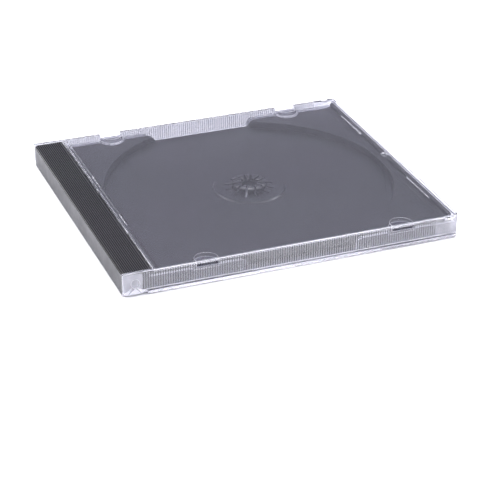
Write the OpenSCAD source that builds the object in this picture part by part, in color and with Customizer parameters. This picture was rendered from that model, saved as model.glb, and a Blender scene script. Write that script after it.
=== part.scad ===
// A closed, empty disc case: a clear lid on two hinge ears, a clear base and a black disc tray.
// X runs from the hinge side to the opening side, Y along the hinge, Z up from the table.

/* [Case] */
// Length from the hinge side to the opening side
case_l = 142; // [140:0.5:144]
// Width along the hinge
case_w = 125; // [124.5:0.1:126]
// Thickness of the closed case
case_h = 10.1; // [10:0.1:10.6]

/* [Lid] */
// Thickness of the lid's flat plate
plate_t = 1.1; // [1:0.05:1.2]
// Distance from the hinge side to the free edge of the lid's plate
plate_x = 12.9; // [12.8:0.1:13.2]
// Thickness of the lid's two side walls
wall_t = 1.3; // [1.2:0.05:1.35]
// Spacing of the fine upright ribs on the side walls
rib_pitch = 1; // [0.8:0.1:1.4]
// Distance of each booklet tab from the middle of the disc
tab_reach = 41.4; // [40.6:0.2:42]

/* [Hinge] */
// Distance of the hinge pins from the hinge side
hinge_x = 5.1; // [4.9:0.1:5.2]
// Height of the hinge pins
hinge_z = 5.4; // [5.3:0.1:5.5]
// Radius of the hinge pins
pin_r = 1.45; // [1.3:0.05:1.5]

/* [Base] */
// Thickness of the base plate
base_t = 1.4; // [1.2:0.1:1.5]
// Height of the base's low side walls
side_wall_z = 6.9; // [6.6:0.1:7]

/* [Tray] */
// Height of the tray's flat top
tray_z = 6.9; // [6.8:0.1:7]
// Height of the disc well's floor
well_z = 4.2; // [4:0.1:4.4]
// Radius of the disc well
well_r = 60.1; // [60:0.1:60.3]
// Radius of the hub's upright teeth, which hold the disc's hole
hub_r = 7.35; // [7.2:0.05:7.45]
// Number of spring teeth round the hub
teeth = 12; // [8:1:14]
// Spacing of the ribs on the strip beside the hinge
strip_pitch = 0.85; // [0.7:0.05:1.1]

/* [Hidden] */
eps = 0.01;
$fn = 64;

clear_plastic = [0.85, 0.87, 0.92, 0.45];
black_plastic = [0.16, 0.16, 0.18];

// Middle of the disc, of its hub and of everything on the tray that is paired about it
disc_x = case_l - 66.1;
disc_y = case_w / 2;

// Lid
corner_r = 2;
inner_corner_r = 0.3;
plate_z = case_h - plate_t;
wall_z = 2.1;
return_l = 3.2;
return_t = 0.7;
edge_r = 0.4;
rib_low = 0.02;
rib_depth = 0.24;
rib_start = 8;
rib_end = case_l - 10;
rib_z = wall_z + 0.45;
rib_top = case_h - 0.5;
pad_x = 12.9;
pad_l = 1.5;
pad_h = 2;
window_w = 9.4;
window_h = 1.6;
tab_r = 5.2;
tab_y = 2.4;
tab_t = 0.95;
witness_r = 4.7;
witness_depth = 0.12;
tab_x = [disc_x - tab_reach, disc_x + tab_reach];
slot_x = case_l - 6.2;
slot_l = 2.8;
slot_z = plate_z - 0.35;
slot_h = 1.1;
lip_t = 0.6;
lip_h = 0.7;
stop_x = case_l - 4.2;
stop_w = 0.5;
stop_h = 0.5;
stop_near = 22.9;
stop_far = 43.6;
ledge_x = plate_x + 2;
ledge_w = 0.6;
ledge_h = 0.1;
ledge_stop_h = 0.3;
ledge_near = 13.5;
ledge_far = 23;
bump_y = [disc_y + 10.6, disc_y - 29.1];
bump_r = 1;
bump_out = 0.2;
gate_x = case_l - 3.6;
gate_r = 1.6;
gate_h = 0.2;
gate_dimple = 0.3;

// Hinge ears: the lid's are outside, the base's inside
ear_x = 0;
ear_z = 0.8;
ear_sweep_r = 5.2;
ear_top_r = 0.8;
ear_low_r = 2.2;
ear_dimple_r = 1.8;
ear_dimple = 0.3;
pin_gap = 0.05;
pin_end = 2.75;
pin_chamfer = 0.25;

// Base
base_y = 1.6;
base_wall_t = 1.1;
flange_x = 10.2;
bevel = 0.7;
spine_x = 0.25;
spine_t = 1.1;
spine_bevel = 0.5;
spine_z = 8.8;
ear_l = 11.6;
wall_gap = [disc_x - 24.3, disc_x + 22.6];
wall_end_r = 2.5;
front_x = case_l - 1.6;
front_t = 0.8;
front_z = plate_z - 0.25;
snap_l = 2.4;
snap_h = 2.6;
snap_z = base_t + 0.6;
snap_gap = 0.3;
snap_x = [wall_gap[0] - 2.4 - snap_l, wall_gap[1] + 2.4];

// Tray
foot_z = base_t + 0.15;
skirt_z = base_t + 0.8;
skin = 1;
tray_x = 1.6;
tray_end = front_x - 0.15;
tray_y = 4.5;
rim_y = 3.7;
rim_r = 0.8;
well_taper = 0.4;
plateau_r = 15.4;
plateau_h = 0.6;
plateau_edge = 0.5;
recess_half = 25.6;
recess_r = 3.6;
notch_r = 5.6;
notch_y = 3;
rim_x = case_l - 3.5;
rim_z = front_z;
ramp_x = case_l - 6.1;
ramp_h = 0.45;
strip_x = 0.1;
strip_end = plate_x - 0.3;
strip_z = case_h - 0.2;
strip_y = wall_t + 0.45;
strip_t = 1;
strip_corner_r = 1.6;
strip_outer_r = 0.8;
strip_inner_r = 1.25;
strip_border = 1.1;
strip_rib_depth = 0.16;
tray_tab_reach = 1.95;
hub_root_r = 10.6;
hub_slot_w = 0.8;
hub_bump = 0.25;
hub_hole_r = 3.4;
hub_top_z = 7.1;

module placed() {
  translate([-case_l / 2, -case_w / 2, 0]) children();
}

// Draws its children on the near long side, and their mirror image on the far one
module both_sides() {
  children();
  translate([0, case_w, 0]) mirror([0, 1, 0]) children();
}

// A box given by its two opposite corners
module box(low, high) {
  translate(low) cube(high - low);
}

// Extrudes an X-Z outline along Y, from y0 to y1
module across(y0, y1) {
  translate([0, y1, 0]) rotate([90, 0, 0]) linear_extrude(y1 - y0) children();
}

// Plan of a plate from x0 to x1 whose two corners on the opening side are round
module plan(x0, x1, y0, r) {
  translate([x0, y0]) square([x1 - x0 - r, case_w - 2 * y0]);
  translate([x0, y0 + r]) square([x1 - x0, case_w - 2 * (y0 + r)]);
  for (y = [y0 + r, case_w - y0 - r])
    translate([x1 - r, y]) circle(r);
}

// A ridge of V section that hangs under the lid's plate, from y0 to y1
module ridge(x, half_w, h, y0, y1) {
  across(y0, y1)
    polygon([
      [x - half_w, plate_z + eps],
      [x - half_w, plate_z],
      [x, plate_z - h],
      [x + half_w, plate_z],
      [x + half_w, plate_z + eps]
    ]);
}

// Outline of the lid's ear and of the side wall's root, seen from the near long side
module ear_outline() {
  translate([ear_x + ear_top_r, wall_z]) square([rib_start - ear_x - ear_top_r, case_h - wall_z]);
  translate([ear_x, ear_z + ear_low_r]) square([ear_top_r, case_h - ear_z - ear_low_r - ear_top_r]);
  translate([ear_x + ear_top_r, case_h - ear_top_r]) circle(ear_top_r);
  translate([ear_x + ear_low_r, ear_z + ear_low_r]) circle(ear_low_r);
  translate([ear_x + ear_low_r, ear_z]) square([hinge_x - ear_x - ear_low_r, 2 * ear_low_r]);
  intersection() {
    translate([hinge_x, hinge_z]) circle(ear_sweep_r, $fn = 128);
    translate([hinge_x, ear_z]) square([ear_sweep_r, wall_z - ear_z + 1]);
  }
  translate([rib_start - 1, plate_z]) square([plate_x - rib_start + 2, plate_t]);
}

// Cuts one row of upright V grooves into the side wall's outer face, which leaves its fine ribs
module rib_grooves() {
  count = floor((rib_end - rib_start) / rib_pitch);
  zigzag = [
    for (i = [0:count - 1])
      each [
        [rib_start + i * rib_pitch, rib_low],
        [rib_start + (i + 0.5) * rib_pitch, rib_low + rib_depth]
      ]
  ];
  last_x = rib_start + count * rib_pitch;
  translate([0, 0, rib_z]) linear_extrude(rib_top - rib_z)
    polygon(concat([[rib_start, -1]], zigzag, [[last_x, rib_low], [last_x, -1]]));
}

// Side wall with its smooth bottom bead, hinge ear, pin and booklet tabs
module lid_side() {
  across(0, wall_t) ear_outline();
  box([rib_start, 0, wall_z], [case_l - 2 * corner_r, wall_t, plate_z + eps]);
  for (x = tab_x) intersection() {
    translate([x, tab_y, plate_z - window_h - tab_t]) cylinder(h = tab_t, r = tab_r);
    box([x - tab_r, wall_t / 2, wall_z], [x + tab_r, tab_y + tab_r, plate_z]);
  }
  translate([hinge_x, wall_t - eps, hinge_z]) rotate([-90, 0, 0]) {
    cylinder(h = pin_end - pin_chamfer - wall_t + eps, r = pin_r);
    translate([0, 0, pin_end - pin_chamfer - wall_t + eps])
      cylinder(h = pin_chamfer, r1 = pin_r, r2 = pin_r - pin_chamfer);
  }
}

// Grooves, the dimple outside the pin, windows above the booklet tabs and the closing slot
module lid_side_cuts() {
  rib_grooves();
  translate([hinge_x, -1, hinge_z]) rotate([-90, 0, 0]) cylinder(h = 1 + ear_dimple, r = ear_dimple_r);
  for (x = tab_x) {
    box([x - window_w / 2, -1, plate_z - window_h], [x + window_w / 2, wall_t + eps, plate_z]);
    intersection() {
      translate([x, tab_y, plate_z - eps]) cylinder(h = witness_depth, r = witness_r);
      box([x - tab_r, wall_t, 0], [x + tab_r, tab_y + tab_r, case_h]);
    }
  }
  box([slot_x, -1, slot_z], [slot_x + slot_l, wall_t + eps, slot_z + slot_h]);
}

// The opening side's rounded corners, with a short return of the side wall
module lid_corners() {
  translate([0, 0, wall_z]) linear_extrude(plate_z - wall_z + eps) difference() {
    plan(case_l - 2 * corner_r, case_l, 0, corner_r);
    plan(case_l - 2 * corner_r - 1, case_l - return_t, wall_t, inner_corner_r);
    translate([case_l - 2, return_l]) square([4, case_w - 2 * return_l]);
  }
}

// Ridges under the plate that keep a booklet in place, the lip and the moulding gate
module lid_stops() {
  both_sides() {
    ridge(stop_x, stop_w, stop_h, disc_y - stop_far, disc_y - stop_near);
    ridge(ledge_x, ledge_w, ledge_stop_h, disc_y - ledge_far, disc_y - ledge_near);
    box([pad_x, 0, plate_z - pad_h], [pad_x + pad_l, wall_t / 2, plate_z + eps]);
  }
  ridge(ledge_x, ledge_w, ledge_h, wall_t - eps, case_w - wall_t + eps);
  box([case_l - lip_t, return_l - eps, plate_z - lip_h],
      [case_l, case_w - return_l + eps, plate_z + eps]);
  translate([gate_x, disc_y, plate_z - gate_h]) cylinder(h = gate_h + eps, r = gate_r);
}

// The plate's free edge beside the strip, with its round top and two small moulding bumps
module plate_edge() {
  across(0, case_w) {
    translate([plate_x, plate_z]) square([edge_r + eps, plate_t - edge_r]);
    translate([plate_x + edge_r, case_h - edge_r]) circle(edge_r);
  }
  for (y = bump_y)
    translate([plate_x + bump_r - bump_out, y, plate_z + edge_r]) cylinder(h = edge_r, r = bump_r);
}

module front_cover() {
  color(clear_plastic) placed() difference() {
    union() {
      translate([0, 0, plate_z]) linear_extrude(plate_t) plan(plate_x + edge_r, case_l, 0, corner_r);
      plate_edge();
      both_sides() lid_side();
      lid_corners();
      lid_stops();
    }
    both_sides() lid_side_cuts();
    translate([gate_x, disc_y, case_h - gate_dimple])
      cylinder(h = gate_dimple + eps, r1 = gate_r / 3, r2 = gate_r);
  }
}

// Base plate, narrower between the lid's ears, with its lower outer edges bevelled
module base_plate() {
  difference() {
    union() {
      linear_extrude(base_t) plan(flange_x, case_l, 0, corner_r);
      box([spine_x, base_y, 0], [flange_x + eps, case_w - base_y, base_t]);
    }
    both_sides()
      translate([flange_x - 1, 0, 0]) rotate([90, 0, 90]) linear_extrude(case_l)
        polygon([[-1, -1], [bevel + 1, -1], [-1, bevel + 1]]);
    across(-1, case_w + 1) {
      polygon([[case_l - bevel - 1, -1], [case_l + 1, -1], [case_l + 1, bevel + 1]]);
      polygon([[spine_x - 1, -1], [spine_x + spine_bevel + 1, -1], [spine_x - 1, spine_bevel + 1]]);
    }
  }
}

// Outline of the base's ear and its two lengths of side wall, open between them at the disc well
module base_side_outline() {
  wall_h = side_wall_z - base_t + eps;
  difference() {
    union() {
      translate([spine_x, base_t - eps]) square([ear_l - spine_x, spine_z - base_t + eps]);
      translate([spine_x, base_t - eps]) square([wall_gap[0] - spine_x - wall_end_r, wall_h]);
      translate([spine_x, base_t - eps]) square([wall_gap[0] - spine_x, wall_h - wall_end_r]);
      translate([wall_gap[0] - wall_end_r, side_wall_z - wall_end_r]) circle(wall_end_r);
      translate([wall_gap[1], base_t - eps]) square([front_x + eps - wall_gap[1], wall_h - wall_end_r]);
      translate([wall_gap[1] + wall_end_r, base_t - eps])
        square([front_x + eps - wall_gap[1] - wall_end_r, wall_h]);
      translate([wall_gap[1] + wall_end_r, side_wall_z - wall_end_r]) circle(wall_end_r);
    }
    translate([hinge_x, hinge_z]) circle(pin_r + pin_gap);
    for (x = tab_x)
      translate([x - notch_r, plate_z - window_h - tab_t - 0.35]) square([2 * notch_r, case_h]);
    for (x = snap_x) {
      translate([x, snap_z]) square([snap_l, snap_h - snap_l / 2]);
      translate([x + snap_l / 2, snap_z + snap_h - snap_l / 2]) circle(snap_l / 2);
    }
  }
}

module back_cover() {
  color(clear_plastic) placed() {
    base_plate();
    box([spine_x, base_y, base_t - eps], [spine_x + spine_t, case_w - base_y, spine_z]);
    box([front_x, base_y, base_t - eps], [front_x + front_t, case_w - base_y, front_z]);
    both_sides() across(base_y, base_y + base_wall_t) base_side_outline();
  }
}

// Plan of the space under the tray's rims, inside its skirt
module tray_inside() {
  difference() {
    translate([tray_x + skin, tray_y + skin])
      square([tray_end - tray_x - 2 * skin, case_w - 2 * (tray_y + skin)]);
    for (x = tab_x) for (y = [notch_y, case_w - notch_y])
      translate([x, y]) circle(notch_r + skin);
  }
}

// The disc well with its two finger recesses, whose ends round down from the rim
module well_space() {
  translate([disc_x, disc_y, well_z])
    cylinder(h = tray_z - well_z + eps, r1 = well_r, r2 = well_r + well_taper, $fn = 180);
  for (y = [0, disc_y + 50]) across(y, y + disc_y - 50) difference() {
    translate([disc_x - recess_half, well_z]) square([2 * recess_half, case_h]);
    for (x = [disc_x - recess_half, disc_x + recess_half])
      translate([x, tray_z - recess_r]) circle(recess_r);
  }
}

// The tray's flat moulding: rims, well floor and skirt, hollow below
module tray_body() {
  difference() {
    box([tray_x, tray_y, skirt_z], [tray_end, case_w - tray_y, tray_z]);
    well_space();
    for (x = tab_x) for (y = [notch_y, case_w - notch_y])
      translate([x, y, 0]) cylinder(h = case_h, r = notch_r);
    translate([0, 0, skirt_z - eps]) linear_extrude(tray_z - skin - skirt_z) difference() {
      tray_inside();
      translate([disc_x, disc_y]) circle(well_r + skin, $fn = 180);
    }
    translate([0, 0, skirt_z - eps]) linear_extrude(well_z - skin - skirt_z) intersection() {
      tray_inside();
      translate([disc_x, disc_y]) circle(well_r - skin / 2, $fn = 180);
    }
    translate([disc_x, disc_y, 0]) cylinder(h = tray_z, r = hub_root_r);
  }
}

// The raised black strip beside the hinge: a hollow rail with a round outer edge and fine long ribs
module strip_outline() {
  count = floor((strip_end - strip_inner_r - strip_x - strip_border) / strip_pitch);
  difference() {
    union() {
      translate([strip_x, spine_z + 0.1])
        square([strip_end - strip_x, strip_z - strip_outer_r - spine_z - 0.1]);
      translate([strip_x + strip_outer_r, strip_z - 2 * strip_outer_r])
        square([strip_end - strip_x - strip_outer_r - strip_inner_r, 2 * strip_outer_r]);
      translate([strip_x + strip_outer_r, strip_z - strip_outer_r]) circle(strip_outer_r);
      translate([strip_end - strip_inner_r, strip_z - strip_inner_r]) circle(strip_inner_r);
    }
    translate([-1, 0]) square([strip_end - skin + 1, strip_z - strip_t]);
    for (i = [0:count])
      translate([strip_x + strip_border + i * strip_pitch, strip_z - strip_rib_depth])
        square([strip_pitch / 2, 1]);
  }
}

// Plan of the strip: its two outer corners are round
module strip_plan() {
  translate([strip_x + strip_corner_r, strip_y])
    square([strip_end - strip_x - strip_corner_r, case_w - 2 * strip_y]);
  translate([strip_x, strip_y + strip_corner_r])
    square([strip_end - strip_x, case_w - 2 * (strip_y + strip_corner_r)]);
  for (y = [strip_y + strip_corner_r, case_w - strip_y - strip_corner_r])
    translate([strip_x + strip_corner_r, y]) circle(strip_corner_r);
}

module strip() {
  intersection() {
    across(strip_y, case_w - strip_y) strip_outline();
    linear_extrude(case_h) strip_plan();
  }
  difference() {
    box([tray_x, tray_y, foot_z], [strip_end, case_w - tray_y, strip_z - strip_t]);
    box([tray_x + skin, tray_y + skin, 0], [strip_end - skin, case_w - tray_y - skin, case_h]);
  }
}

// Low rim along the opening side, with a shallow ramp up to it and a foot under it
module opening_rim() {
  translate([0, 0, tray_z - skin]) linear_extrude(rim_z - tray_z + skin) {
    translate([rim_x + rim_r, rim_y]) square([tray_end - rim_x - rim_r, case_w - 2 * rim_y]);
    translate([rim_x, rim_y + rim_r]) square([tray_end - rim_x, case_w - 2 * (rim_y + rim_r)]);
    for (y = [rim_y + rim_r, case_w - rim_y - rim_r])
      translate([rim_x + rim_r, y]) circle(rim_r);
  }
  box([tray_end - skin, tray_y, foot_z], [tray_end, case_w - tray_y, skirt_z + eps]);
  across(tray_y, case_w - tray_y) {
    polygon([
      [ramp_x, tray_z - eps],
      [rim_x - 0.2, tray_z + ramp_h],
      [rim_x + eps, tray_z + ramp_h],
      [rim_x + eps, tray_z - eps]
    ]);
  }
}

// Half section of the hub, turned about the disc's middle: ring, rising tooth, bump and inward cap
module hub_profile() {
  floor_z = well_z + plateau_h;
  polygon([
    [plateau_r, well_z - skin],
    [plateau_r, well_z],
    [plateau_r - plateau_edge, floor_z],
    [hub_root_r - 1.4, floor_z],
    [hub_r, floor_z + 0.15],
    [hub_r, floor_z + 1.35],
    [hub_r + hub_bump, floor_z + 1.6],
    [hub_r - 0.1, floor_z + 1.95],
    [hub_r - 0.9, hub_top_z],
    [hub_hole_r, hub_top_z - 0.4],
    [hub_hole_r, hub_top_z - 1.2],
    [hub_r - 1.6, hub_top_z - 0.9],
    [hub_r - 1.1, hub_top_z - 1.3],
    [hub_r - 1.1, floor_z - 0.9],
    [hub_root_r, well_z - skin]
  ]);
}

module hub() {
  translate([disc_x, disc_y, 0]) difference() {
    rotate_extrude($fn = 96) hub_profile();
    for (i = [0:teeth - 1]) rotate([0, 0, i * 360 / teeth])
      box([hub_hole_r - 1, -hub_slot_w / 2, 0], [hub_root_r, hub_slot_w / 2, case_h]);
  }
}

// Tabs on the skirt that snap into the base's side walls
module tray_tabs() {
  for (x = snap_x)
    box([x + snap_gap, tray_y - tray_tab_reach, skirt_z],
        [x + snap_l - snap_gap, tray_y + eps, snap_z + snap_h - snap_l / 2]);
}

module tray() {
  color(black_plastic) placed() {
    tray_body();
    strip();
    opening_rim();
    hub();
    both_sides() tray_tabs();
  }
}

front_cover();
back_cover();
tray();
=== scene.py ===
"""A closed, empty disc case: a clear base, a black disc tray and a clear lid, on a white table."""

import math
import random

import bpy
from mathutils import Matrix, Vector


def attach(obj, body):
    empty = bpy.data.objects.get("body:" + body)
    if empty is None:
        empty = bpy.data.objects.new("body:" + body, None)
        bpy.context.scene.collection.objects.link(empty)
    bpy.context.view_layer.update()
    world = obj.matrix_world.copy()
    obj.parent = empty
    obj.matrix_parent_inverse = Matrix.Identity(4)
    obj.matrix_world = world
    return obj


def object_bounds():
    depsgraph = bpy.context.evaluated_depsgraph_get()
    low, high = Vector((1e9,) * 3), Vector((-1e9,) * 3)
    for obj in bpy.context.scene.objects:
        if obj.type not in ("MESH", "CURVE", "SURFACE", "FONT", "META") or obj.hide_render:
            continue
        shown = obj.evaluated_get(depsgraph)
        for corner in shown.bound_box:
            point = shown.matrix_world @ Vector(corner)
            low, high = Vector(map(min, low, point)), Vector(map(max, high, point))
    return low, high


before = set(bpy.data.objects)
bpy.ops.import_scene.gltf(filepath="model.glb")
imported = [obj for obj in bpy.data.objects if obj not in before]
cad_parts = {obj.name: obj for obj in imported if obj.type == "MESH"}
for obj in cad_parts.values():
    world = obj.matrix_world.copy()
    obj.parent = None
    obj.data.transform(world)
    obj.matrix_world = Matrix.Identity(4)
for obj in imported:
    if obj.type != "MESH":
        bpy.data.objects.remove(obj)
cad_low, cad_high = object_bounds()

# The base: one injection moulding of clear polystyrene, the lowest piece of the case.
# The mould is polished, so its plate is as clear as glass. Its side walls are duller, from the sides of the
# mould and from handling, and are drawn lighter, which is painted light. Its spine is more matt, and is drawn
# darker, which is painted shade.
mm = 0.001
polystyrene_ior = 1.59
scuff_spacing = 3.85
scuff_low, scuff_high = 0.35, 0.65
base_wall_top, base_wall_top_slack = 6.9, 0.1
base_wall_outside, base_wall_slack = 61.0, 0.5
spine_outside = -68.0
edge_radius = 0.14
# A face looks along an axis where its normal has this share along it.
facing = 0.9


def srgb(code):
    """Linear colour of an sRGB hex value such as "c8c8d0"."""
    parts = [int(code[i : i + 2], 16) / 255 for i in (0, 2, 4)]
    linear = [c / 12.92 if c <= 0.04045 else ((c + 0.055) / 1.055) ** 2.4 for c in parts]
    return (*linear, 1)


def add(tree, kind, settings=None, links=None):
    """A node of that kind. settings holds its attributes, its plain inputs by name or number, and
    a colour ramp's stops from low to high. links holds what feeds its other inputs."""
    node = tree.nodes.new(kind)
    for name, value in (settings or {}).items():
        if name == "stops":
            lowest, *between, highest = value
            ramp = node.color_ramp.elements
            ramp[0].position, ramp[0].color = lowest
            ramp[1].position, ramp[1].color = highest
            for place, colour in between:
                ramp.new(place).color = colour
        elif isinstance(name, int) or name in node.inputs:
            node.inputs[name].default_value = value
        else:
            setattr(node, name, value)
    for name, source in (links or {}).items():
        tree.links.new(source, node.inputs[name])
    return node


def new_finish(name, **values):
    """A new material, its node tree and its shader, whose inputs are set from values."""
    material = bpy.data.materials.new(name)
    material.use_nodes = True
    shader = material.node_tree.nodes["Principled BSDF"]
    for key, value in values.items():
        shader.inputs[key.replace("_", " ")].default_value = value
    return material, material.node_tree, shader


def clear_plastic(name, base, scuffed, transmission, rough_low, rough_high):
    """Polystyrene that lets that share of the light through. Handling has left scuffs in its colour
    and gloss. They are drawn 4 mm apart, coarser than the real ones, which are too fine to show."""
    material, tree, shader = new_finish(name, Transmission_Weight=transmission, IOR=polystyrene_ior)
    place = add(tree, "ShaderNodeTexCoord")
    scuffs = add(
        tree, "ShaderNodeTexNoise", {"Scale": 1 / (scuff_spacing * mm), "Detail": 5, "Roughness": 0.6},
        {"Vector": place.outputs["Object"]},
    )
    colour = add(
        tree, "ShaderNodeValToRGB", {"stops": [(scuff_low, srgb(scuffed)), (scuff_high, srgb(base))]},
        {"Fac": scuffs.outputs["Fac"]},
    )
    gloss = add(
        tree, "ShaderNodeMapRange",
        {"From Min": scuff_low, "From Max": scuff_high, "To Min": rough_high, "To Max": rough_low},
        {"Value": scuffs.outputs["Fac"]},
    )
    tree.links.new(colour.outputs["Color"], shader.inputs["Base Color"])
    tree.links.new(gloss.outputs["Result"], shader.inputs["Roughness"])
    return material


def give_finish(node, finish, is_there):
    """Gives that finish to each face of a CAD node where is_there(middle, normal) is true, middle in mm."""
    finishes = node.data.materials
    if finish.name not in finishes:
        finishes.append(finish)
    slot = finishes.find(finish.name)
    for face in node.data.polygons:
        if is_there(face.center / mm, face.normal):
            face.material_index = slot


def soften(node, radius, finish=None, skip=None, sharp_spots=()):
    """Rounds the edges of a CAD node that turn by more than 60 degrees, in that finish. Left sharp are
    those that lie where skip(point) is true, or end within 0.8 mm of one of sharp_spots. All in mm."""
    mesh = node.data
    same_spot = 0.001
    square_turn = math.cos(math.radians(60))
    spot_reach = 0.8
    spots = [tuple(round(v / mm / same_spot) for v in vertex.co) for vertex in mesh.vertices]
    normals = {}
    for face in mesh.polygons:
        for a, b in face.edge_keys:
            normals.setdefault(frozenset((spots[a], spots[b])), []).append(face.normal.copy())
    weight = mesh.attributes.new("bevel_weight_edge", "FLOAT", "EDGE")
    for edge in mesh.edges:
        a, b = edge.vertices
        sides = normals.get(frozenset((spots[a], spots[b])), [])
        ends = [mesh.vertices[i].co / mm for i in (a, b)]
        square = len(sides) == 2 and sides[0].dot(sides[1]) < square_turn
        kept = skip and all(skip(end) for end in ends)
        kept = kept or any((end - Vector(spot)).length < spot_reach for end in ends for spot in sharp_spots)
        if square and not kept:
            weight.data[edge.index].value = 1
    weld = node.modifiers.new("weld", "WELD")
    weld.merge_threshold = 2 * same_spot * mm
    bevel = node.modifiers.new("bevel", "BEVEL")
    bevel.limit_method = "WEIGHT"
    bevel.width = radius * mm
    bevel.segments = 2
    bevel.material = mesh.materials.find(finish.name) if finish else -1
    bevel.use_clamp_overlap = False


# Polished faces, and rounded edges drawn whitish and half matt: a painted glow for the light that runs inside
# the plate and out at its edges.
clear = clear_plastic("moulded_clear_polystyrene", "fafaff", "f6f6fc", 1.0, 0.015, 0.04)
frosted_glow = clear_plastic("frosted_clear_polystyrene_painted_glow", "f4f4fa", "e8e8f2", 0.5, 0.3, 0.4)
dull_painted_light = clear_plastic("dull_clear_polystyrene_painted_light", "d4d4dc", "bcbcc6", 0.62, 0.1, 0.2)
# The spine is drawn more matt and darker than polished polystyrene, so that it mirrors less of the table: its
# darker colour is painted shade.
spine = clear_plastic("spine_clear_polystyrene_painted_shade", "74747c", "68686f", 0.9, 0.5, 0.6)
spine.node_tree.nodes["Principled BSDF"].inputs["Specular IOR Level"].default_value = 0.1

back_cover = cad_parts["back_cover"]
back_cover.data.materials.clear()
back_cover.data.materials.append(clear)
# The tops of the base's side walls, and its rounded edges, are whitish: a painted glow.
give_finish(
    back_cover, frosted_glow,
    lambda middle, normal: normal.z > facing and abs(middle.z - base_wall_top) < base_wall_top_slack,
)
# The base's side walls: hazier, and lighter, which is painted light.
give_finish(
    back_cover, dull_painted_light,
    lambda middle, normal: abs(normal.y) > facing
    and abs(abs(middle.y) - base_wall_outside) < base_wall_slack,
)
# The spine's outer face, darker: painted shade.
give_finish(back_cover, spine, lambda middle, normal: normal.x < -facing and middle.x < spine_outside)
soften(back_cover, edge_radius, frosted_glow)

# The tray: one injection moulding of black polystyrene, snapped into the base. It comes satin from the
# mould, with a fine grain and faint flow marks. Violet and green clouds of the light the stressed lid
# reflects are painted into its colour.
tray_grain = 2.38
flow_marks, flow_depth = 35.7, 0.05
painted_rainbow_spacing = 45.5
tray_roughness = 0.29
black, tree, shader = new_finish("moulded_black_polystyrene", IOR=polystyrene_ior, Roughness=tray_roughness)
place = add(tree, "ShaderNodeTexCoord")
# The real grain is under 0.1 mm. It is drawn at 2.4 mm, so that it shows.
grain = add(
    tree, "ShaderNodeTexNoise", {"Scale": 1 / (tray_grain * mm), "Detail": 6, "Roughness": 0.65},
    {"Vector": place.outputs["Object"]},
)
flow = add(
    tree, "ShaderNodeTexNoise", {"Scale": 1 / (flow_marks * mm), "Detail": 3, "Roughness": 0.5},
    {"Vector": place.outputs["Object"]},
)
marks = add(
    tree, "ShaderNodeMix", {"data_type": "FLOAT", 0: 0.5}, {2: grain.outputs["Fac"], 3: flow.outputs["Fac"]}
)
colour = add(
    tree, "ShaderNodeValToRGB", {"stops": [(0.4, srgb("040405")), (0.62, srgb("0c0c0f"))]},
    {"Fac": marks.outputs[0]},
)
# Painted rainbow: violet and green clouds of light, added to the tray's colour.
clouds = add(
    tree, "ShaderNodeTexNoise", {"Scale": 1 / (painted_rainbow_spacing * mm), "Detail": 1.5, "Roughness": 0.4},
    {"Vector": place.outputs["Object"]},
)
painted_rainbow = add(
    tree, "ShaderNodeValToRGB",
    {"stops": [(0.34, srgb("120e14")), (0.5, srgb("0a0a0c")), (0.66, srgb("0d120e"))]},
    {"Fac": clouds.outputs["Fac"]},
)
grain_and_painted_rainbow = add(
    tree, "ShaderNodeMix", {"data_type": "RGBA", "blend_type": "ADD", 0: 1},
    {6: colour.outputs["Color"], 7: painted_rainbow.outputs["Color"]},
)
relief = add(
    tree, "ShaderNodeBump", {"Strength": 0.1, "Distance": flow_depth * mm}, {"Height": flow.outputs["Fac"]}
)
tree.links.new(grain_and_painted_rainbow.outputs[2], shader.inputs["Base Color"])
tree.links.new(relief.outputs["Normal"], shader.inputs["Normal"])

# The floors of the strip's grooves and the side beside the spine are textured, and have hardly any gloss.
# The real texture is under 0.2 mm. It is drawn at 1.1 mm, so that it shows.
groove_grain = 1.11
groove, tree, shader = new_finish(
    "textured_black_polystyrene", IOR=polystyrene_ior, Roughness=0.7, Specular_IOR_Level=0.2
)
place = add(tree, "ShaderNodeTexCoord")
grain = add(
    tree, "ShaderNodeTexNoise", {"Scale": 1 / (groove_grain * mm), "Detail": 4, "Roughness": 0.6},
    {"Vector": place.outputs["Object"]},
)
colour = add(
    tree, "ShaderNodeValToRGB", {"stops": [(0, srgb("040405")), (1, srgb("08080b"))]},
    {"Fac": grain.outputs["Fac"]},
)
tree.links.new(colour.outputs["Color"], shader.inputs["Base Color"])

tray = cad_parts["tray"]
groove_low, groove_high = 9.65, 9.89
strip_side = -58.0
tray_hinge_side = -64.0
tray_edge_radius = 0.12
tray.data.materials.clear()
tray.data.materials.append(black)
give_finish(
    tray, groove, lambda middle, normal: groove_low < middle.z < groove_high and middle.x < strip_side
)
give_finish(tray, groove, lambda middle, normal: normal.x < -facing and middle.x < tray_hinge_side)
soften(tray, tray_edge_radius)

# Dust: a few light specks of lint and polystyrene dust, which fell on the tray before the lid was shut.
# Dust is matt, and its fibres show as a fine change of tone, drawn coarser than real fibres are.
fibre_spacing = 0.167
dust, tree, shader = new_finish("dust", Roughness=0.9)
place = add(tree, "ShaderNodeTexCoord")
fibres = add(
    tree, "ShaderNodeTexNoise", {"Scale": 1 / (fibre_spacing * mm), "Detail": 2},
    {"Vector": place.outputs["Object"]},
)
colour = add(
    tree, "ShaderNodeValToRGB", {"stops": [(0, srgb("9c9ca2")), (1, srgb("d8d8dc"))]},
    {"Fac": fibres.outputs["Fac"]},
)
tree.links.new(colour.outputs["Color"], shader.inputs["Base Color"])


def on_case(*distances):
    """The point that many mm from the hinge side, from the near side and from the table."""
    return [corner + distance * mm for corner, distance in zip(cad_low, distances)]


def wear_piece(name, points, faces, finish, body):
    """A piece of wear or dirt that rides on a body of the case."""
    mesh = bpy.data.meshes.new(name)
    mesh.from_pydata(points, [], faces)
    mesh.materials.append(finish)
    piece = bpy.data.objects.new(name, mesh)
    bpy.context.collection.objects.link(piece)
    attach(piece, body)


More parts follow.
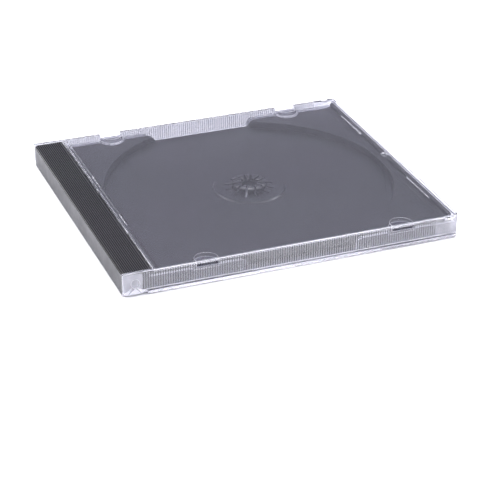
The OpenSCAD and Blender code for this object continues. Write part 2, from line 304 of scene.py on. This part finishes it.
# Each speck: its distances from the hinge side and the near side and its radius, in mm.
specks = [
    (82.0, 24.5, 0.2), (34.3, 10.1, 0.2), (17.8, 40.3, 0.17), (35.9, 27.1, 0.17), (36.0, 10.3, 0.15),
    (123.8, 89.5, 0.12), (128.2, 106.1, 0.13), (56.6, 14.0, 0.14), (129.4, 102.2, 0.1), (126.1, 108.0, 0.11),
    (128.1, 98.1, 0.1), (129.3, 90.9, 0.1), (25.1, 15.3, 0.11), (39.2, 109.1, 0.1), (50.2, 98.5, 0.11),
    (17.9, 14.6, 0.1), (127.6, 93.7, 0.08), (96.0, 71.0, 0.07), (44.0, 62.0, 0.07), (63.0, 33.0, 0.06),
]
disc_centre = Vector((75.9, 62.5))
well_radius = 60
well_floor = 4.2
tray_top = 6.9
speck_lift = 0.02
speck_height = 0.05
speck_sides = 7
luck = random.Random(7)
points = []
faces = []
for x, y, radius in specks:
    in_well = (Vector((x, y)) - disc_centre).length < well_radius
    floor = (well_floor if in_well else tray_top) + speck_lift
    first = len(points)
    for i in range(speck_sides):
        angle = 2 * math.pi * i / speck_sides
        reach = radius * luck.uniform(0.6, 1.3)
        points.append(on_case(x + reach * math.cos(angle), y + reach * math.sin(angle), floor))
    points.append(on_case(x, y, floor + speck_height))
    faces += [(first + i, first + (i + 1) % speck_sides, first + speck_sides) for i in range(speck_sides)]
wear_piece("dust_specks", points, faces, dust, "base")

# The lid: one injection moulding of clear polystyrene, hinged on the base by two pins inside its ears.
# The fine upright ribs of its side walls scatter light. They are too fine for the render to bend light
# through, so the near wall's ribs have a painted lit flank and a painted shaded flank, and the far wall's
# ribs are painted grey, a painted shade for the dimmer surroundings seen through them.
rib_bright = clear_plastic("ribbed_clear_polystyrene_lit", "e0e0e8", "d4d4dc", 0.74, 0.1, 0.2)
rib_dark = clear_plastic("ribbed_clear_polystyrene_shaded", "565660", "4a4a54", 0.9, 0.1, 0.2)
rib_far_painted_shade = clear_plastic("ribbed_clear_polystyrene_far_painted_shade", "74747a", "6c6c72", 1.0, 0.25, 0.35)
# The end of the wall away from the hinge is drawn hazier and lighter, which is painted light.
hazy_painted_light = clear_plastic("hazy_clear_polystyrene_painted_light", "dcdce2", "b0b0ba", 0.7, 0.1, 0.25)
lid_wall_outside = 62.0
foot_outside, foot_top = 62.4, 2.56
wall_end_low, wall_end_high = 2.6, 9.5
hinge_end, opening_end = -63.0, 61.0
plate_edge_low = 8.9
tabs_outside = 50.0
tab_underside_low, tab_underside_high = 6.0, 7.35
window_outside = 60.5
window_low, window_high = 7.3, 8.9
ribs_start, ribs_end = -63.2, 61.2
ribs_low, ribs_high = 2.4, 9.7
tight_spots = [(-57.7, side * 61.2, 10.1) for side in (-1, 1)]


def on_rib(middle, normal):
    """The slanted flanks of the ribs, which turn by 17 to 37 degrees from the wall's face."""
    upright = abs(normal.z) < 0.1 and abs(normal.y) > 0.6
    return upright and 0.3 < abs(normal.x) < 0.6 and abs(middle.y) > lid_wall_outside


def on_wall_end(middle, normal):
    """The smooth ends of the side walls' outer faces, beyond the ribs."""
    outer = abs(normal.y) > facing and abs(middle.y) > lid_wall_outside
    beyond_ribs = middle.x < hinge_end or middle.x > opening_end
    return outer and beyond_ribs and wall_end_low < middle.z < wall_end_high


def in_ribs(point):
    """True for the ends of the fine ribs' edges, which stay sharp."""
    beside = ribs_start < point.x < ribs_end and ribs_low < point.z < ribs_high
    return beside and abs(point.y) > lid_wall_outside


front_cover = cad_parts["front_cover"]
front_cover.data.materials.clear()
front_cover.data.materials.append(clear)
# Painted light and painted shade on the near wall's rib flanks, painted shade on the far wall's.
give_finish(front_cover, rib_far_painted_shade, lambda middle, normal: on_rib(middle, normal) and middle.y > 0)
give_finish(
    front_cover, rib_bright, lambda middle, normal: on_rib(middle, normal) and middle.y < 0 and normal.x < 0
)
give_finish(
    front_cover, rib_dark, lambda middle, normal: on_rib(middle, normal) and middle.y < 0 and normal.x > 0
)
# The foot of each side wall, below the ribs: whitish, a painted glow along its bottom edge.
give_finish(
    front_cover, frosted_glow,
    lambda middle, normal: abs(normal.y) > facing and abs(middle.y) > foot_outside and middle.z < foot_top,
)
# The ends of the lid's side walls beyond the ribs: hazier, and lighter, which is painted light.
give_finish(front_cover, dull_painted_light, lambda middle, normal: on_wall_end(middle, normal) and middle.x < 0)
give_finish(front_cover, hazy_painted_light, lambda middle, normal: on_wall_end(middle, normal) and middle.x > 0)
# The plate's far edge, above the ribs, painted grey like the far ribs: painted shade.
give_finish(
    front_cover, rib_far_painted_shade,
    lambda middle, normal: normal.y > facing and middle.y > lid_wall_outside and middle.z > plate_edge_low,
)
# The undersides of the booklet tabs, and at the same height the tops of the hinge pins, in the shaded rib
# finish: painted shade, so that the windows over them look dark.
give_finish(
    front_cover, rib_dark,
    lambda middle, normal: abs(normal.z) > facing and abs(middle.y) > tabs_outside
    and tab_underside_low < middle.z < tab_underside_high,
)
# The sides of the windows and of the closing slots: whitish, a painted glow framing them.
give_finish(
    front_cover, frosted_glow,
    lambda middle, normal: abs(normal.x) > facing and abs(middle.y) > window_outside
    and window_low < middle.z < window_high,
)
# The lid's edges are rounded in the whitish finish, a painted glow.
# Two corners, where the plate's edge beside the strip meets the side walls, are too tight for a rounded edge.
soften(front_cover, edge_radius, frosted_glow, in_ribs, tight_spots)

# Nick: the near top edge of the lid is chipped over about 2.5 mm, two thirds along from the hinge.
# Broken polystyrene is rough, so the chip looks white.
chip_points = [
    (89.9, 0.1, 10.02), (90.6, 0.03, 9.98), (91.3, 0.02, 10.03), (92.3, 0.12, 10.0),
    (90.3, 0.0, 9.86), (91.1, 0.01, 9.8), (91.9, 0.0, 9.88),
    (90.5, 0.16, 10.09), (91.2, 0.22, 10.1), (91.9, 0.15, 10.09),
]
chip_faces = [
    (0, 4, 1), (4, 5, 1), (1, 5, 2), (5, 6, 2), (2, 6, 3),
    (0, 1, 7), (1, 8, 7), (1, 2, 8), (2, 9, 8), (2, 3, 9),
]
chip_places = [on_case(x, y, z) for x, y, z in chip_points]
wear_piece("edge_chip", chip_places, chip_faces, frosted_glow, "lid")

# The table: white laminate, 6 m square, just under the case. It keeps the case's shadow.
# It is matt and plain, and the clear plastic shows its white.
table_half = 3
table_drop = 0.2
white_laminate, tree, shader = new_finish(
    "white_laminate_table", Base_Color=srgb("fbfbfb"), Roughness=0.6, Specular_IOR_Level=0
)
table_mesh = bpy.data.meshes.new("table")
table_mesh.from_pydata(
    [(-table_half, -table_half, 0), (table_half, -table_half, 0),
     (table_half, table_half, 0), (-table_half, table_half, 0)],
    [], [(0, 1, 2, 3)],
)
table_mesh.materials.append(white_laminate)
table = bpy.data.objects.new("table", table_mesh)
bpy.context.collection.objects.link(table)
table.location.z = -table_drop * mm

# The studio: a dim room with a pale ceiling, and a white sweep low down all round. The lid mirrors the dim
# part of it. Each stop is a height, as the sine of the angle above the horizon, and a grey.
studio_greys = ((0.18, 0.42), (0.32, 0.2), (0.44, 0.2), (0.475, 0.235), (0.62, 0.36))
studio_blue = 1.2
studio_strength = 2.3
scene = bpy.context.scene
world = bpy.data.worlds.new("dim_studio")
world.use_nodes = True
tree = world.node_tree
tree.nodes.clear()
coords = add(tree, "ShaderNodeTexCoord")
height = add(tree, "ShaderNodeSeparateXYZ", links={"Vector": coords.outputs["Generated"]})
sweep_stop = (0.0, (0.5, 0.5, 0.57, 1))
ceiling_stop = (1.0, (0.75, 0.75, 0.75, 1))
wall_stops = [(place, (grey, grey, grey * studio_blue, 1)) for place, grey in studio_greys]
walls = add(
    tree, "ShaderNodeValToRGB", {"stops": [sweep_stop, *wall_stops, ceiling_stop]},
    {"Fac": height.outputs["Z"]},
)
background = add(
    tree, "ShaderNodeBackground", {"Strength": studio_strength}, {"Color": walls.outputs["Color"]}
)
add(tree, "ShaderNodeOutputWorld", links={"Surface": background.outputs[0]})
scene.world = world

# Softboxes: two stand left and right of the camera's line, 43 degrees up, and light the hub's near edge.
# A third hangs almost overhead, and lights the tips of the hub's teeth and all the upward edges.
softbox_size = 0.6
for name, place, watts in (
    ("softbox_left", (-0.684, 0.274, 0.675), 6),
    ("softbox_right", (0.684, -0.274, 0.675), 6),
    ("softbox_above", (0.0885, 0.221, 0.972), 8),
):
    lamp_data = bpy.data.lights.new(name, "AREA")
    lamp_data.shape = "SQUARE"
    lamp_data.size = softbox_size
    lamp_data.energy = watts
    lamp = bpy.data.objects.new(name, lamp_data)
    lamp.location = place
    lamp.rotation_mode = "QUATERNION"
    lamp.rotation_quaternion = (-lamp.location).to_track_quat("-Z", "Y")
    bpy.context.collection.objects.link(lamp)

# The camera: a long lens above the near long side, set off towards the hinge side.
# Its place and angles were fitted to the case's own edges, 142 by 125 mm.
camera_place = Vector((-0.24212, -0.61855, 0.33496))
camera_yaw, camera_pitch, camera_roll = 1.18994, -0.49557, 0.00965
sensor_mm = 36
picture_pixels = 500
focal_pixels = 1770.32
forward = Vector((
    math.cos(camera_pitch) * math.cos(camera_yaw),
    math.cos(camera_pitch) * math.sin(camera_yaw),
    math.sin(camera_pitch),
))
level_right = Vector((math.sin(camera_yaw), -math.cos(camera_yaw), 0))
level_up = level_right.cross(forward)
right = level_right * math.cos(camera_roll) + level_up * math.sin(camera_roll)
up = right.cross(forward)
turn = Matrix((right, up, -forward)).transposed().to_4x4()
camera_data = bpy.data.cameras.new("camera")
camera_data.sensor_width = sensor_mm
camera_data.lens = sensor_mm * focal_pixels / picture_pixels
camera_data.clip_start = 0.01
camera_data.clip_end = 20
camera = bpy.data.objects.new("camera", camera_data)
camera.matrix_world = Matrix.Translation(camera_place) @ turn
bpy.context.collection.objects.link(camera)
scene.camera = camera

# Light runs along inside the clear plates from edge to edge, which takes many bounces.
clear_bounces = 96
scene.view_settings.view_transform = "Standard"
scene.cycles.max_bounces = clear_bounces
scene.cycles.transmission_bounces = clear_bounces
scene.cycles.glossy_bounces = clear_bounces
scene.cycles.diffuse_bounces = 4
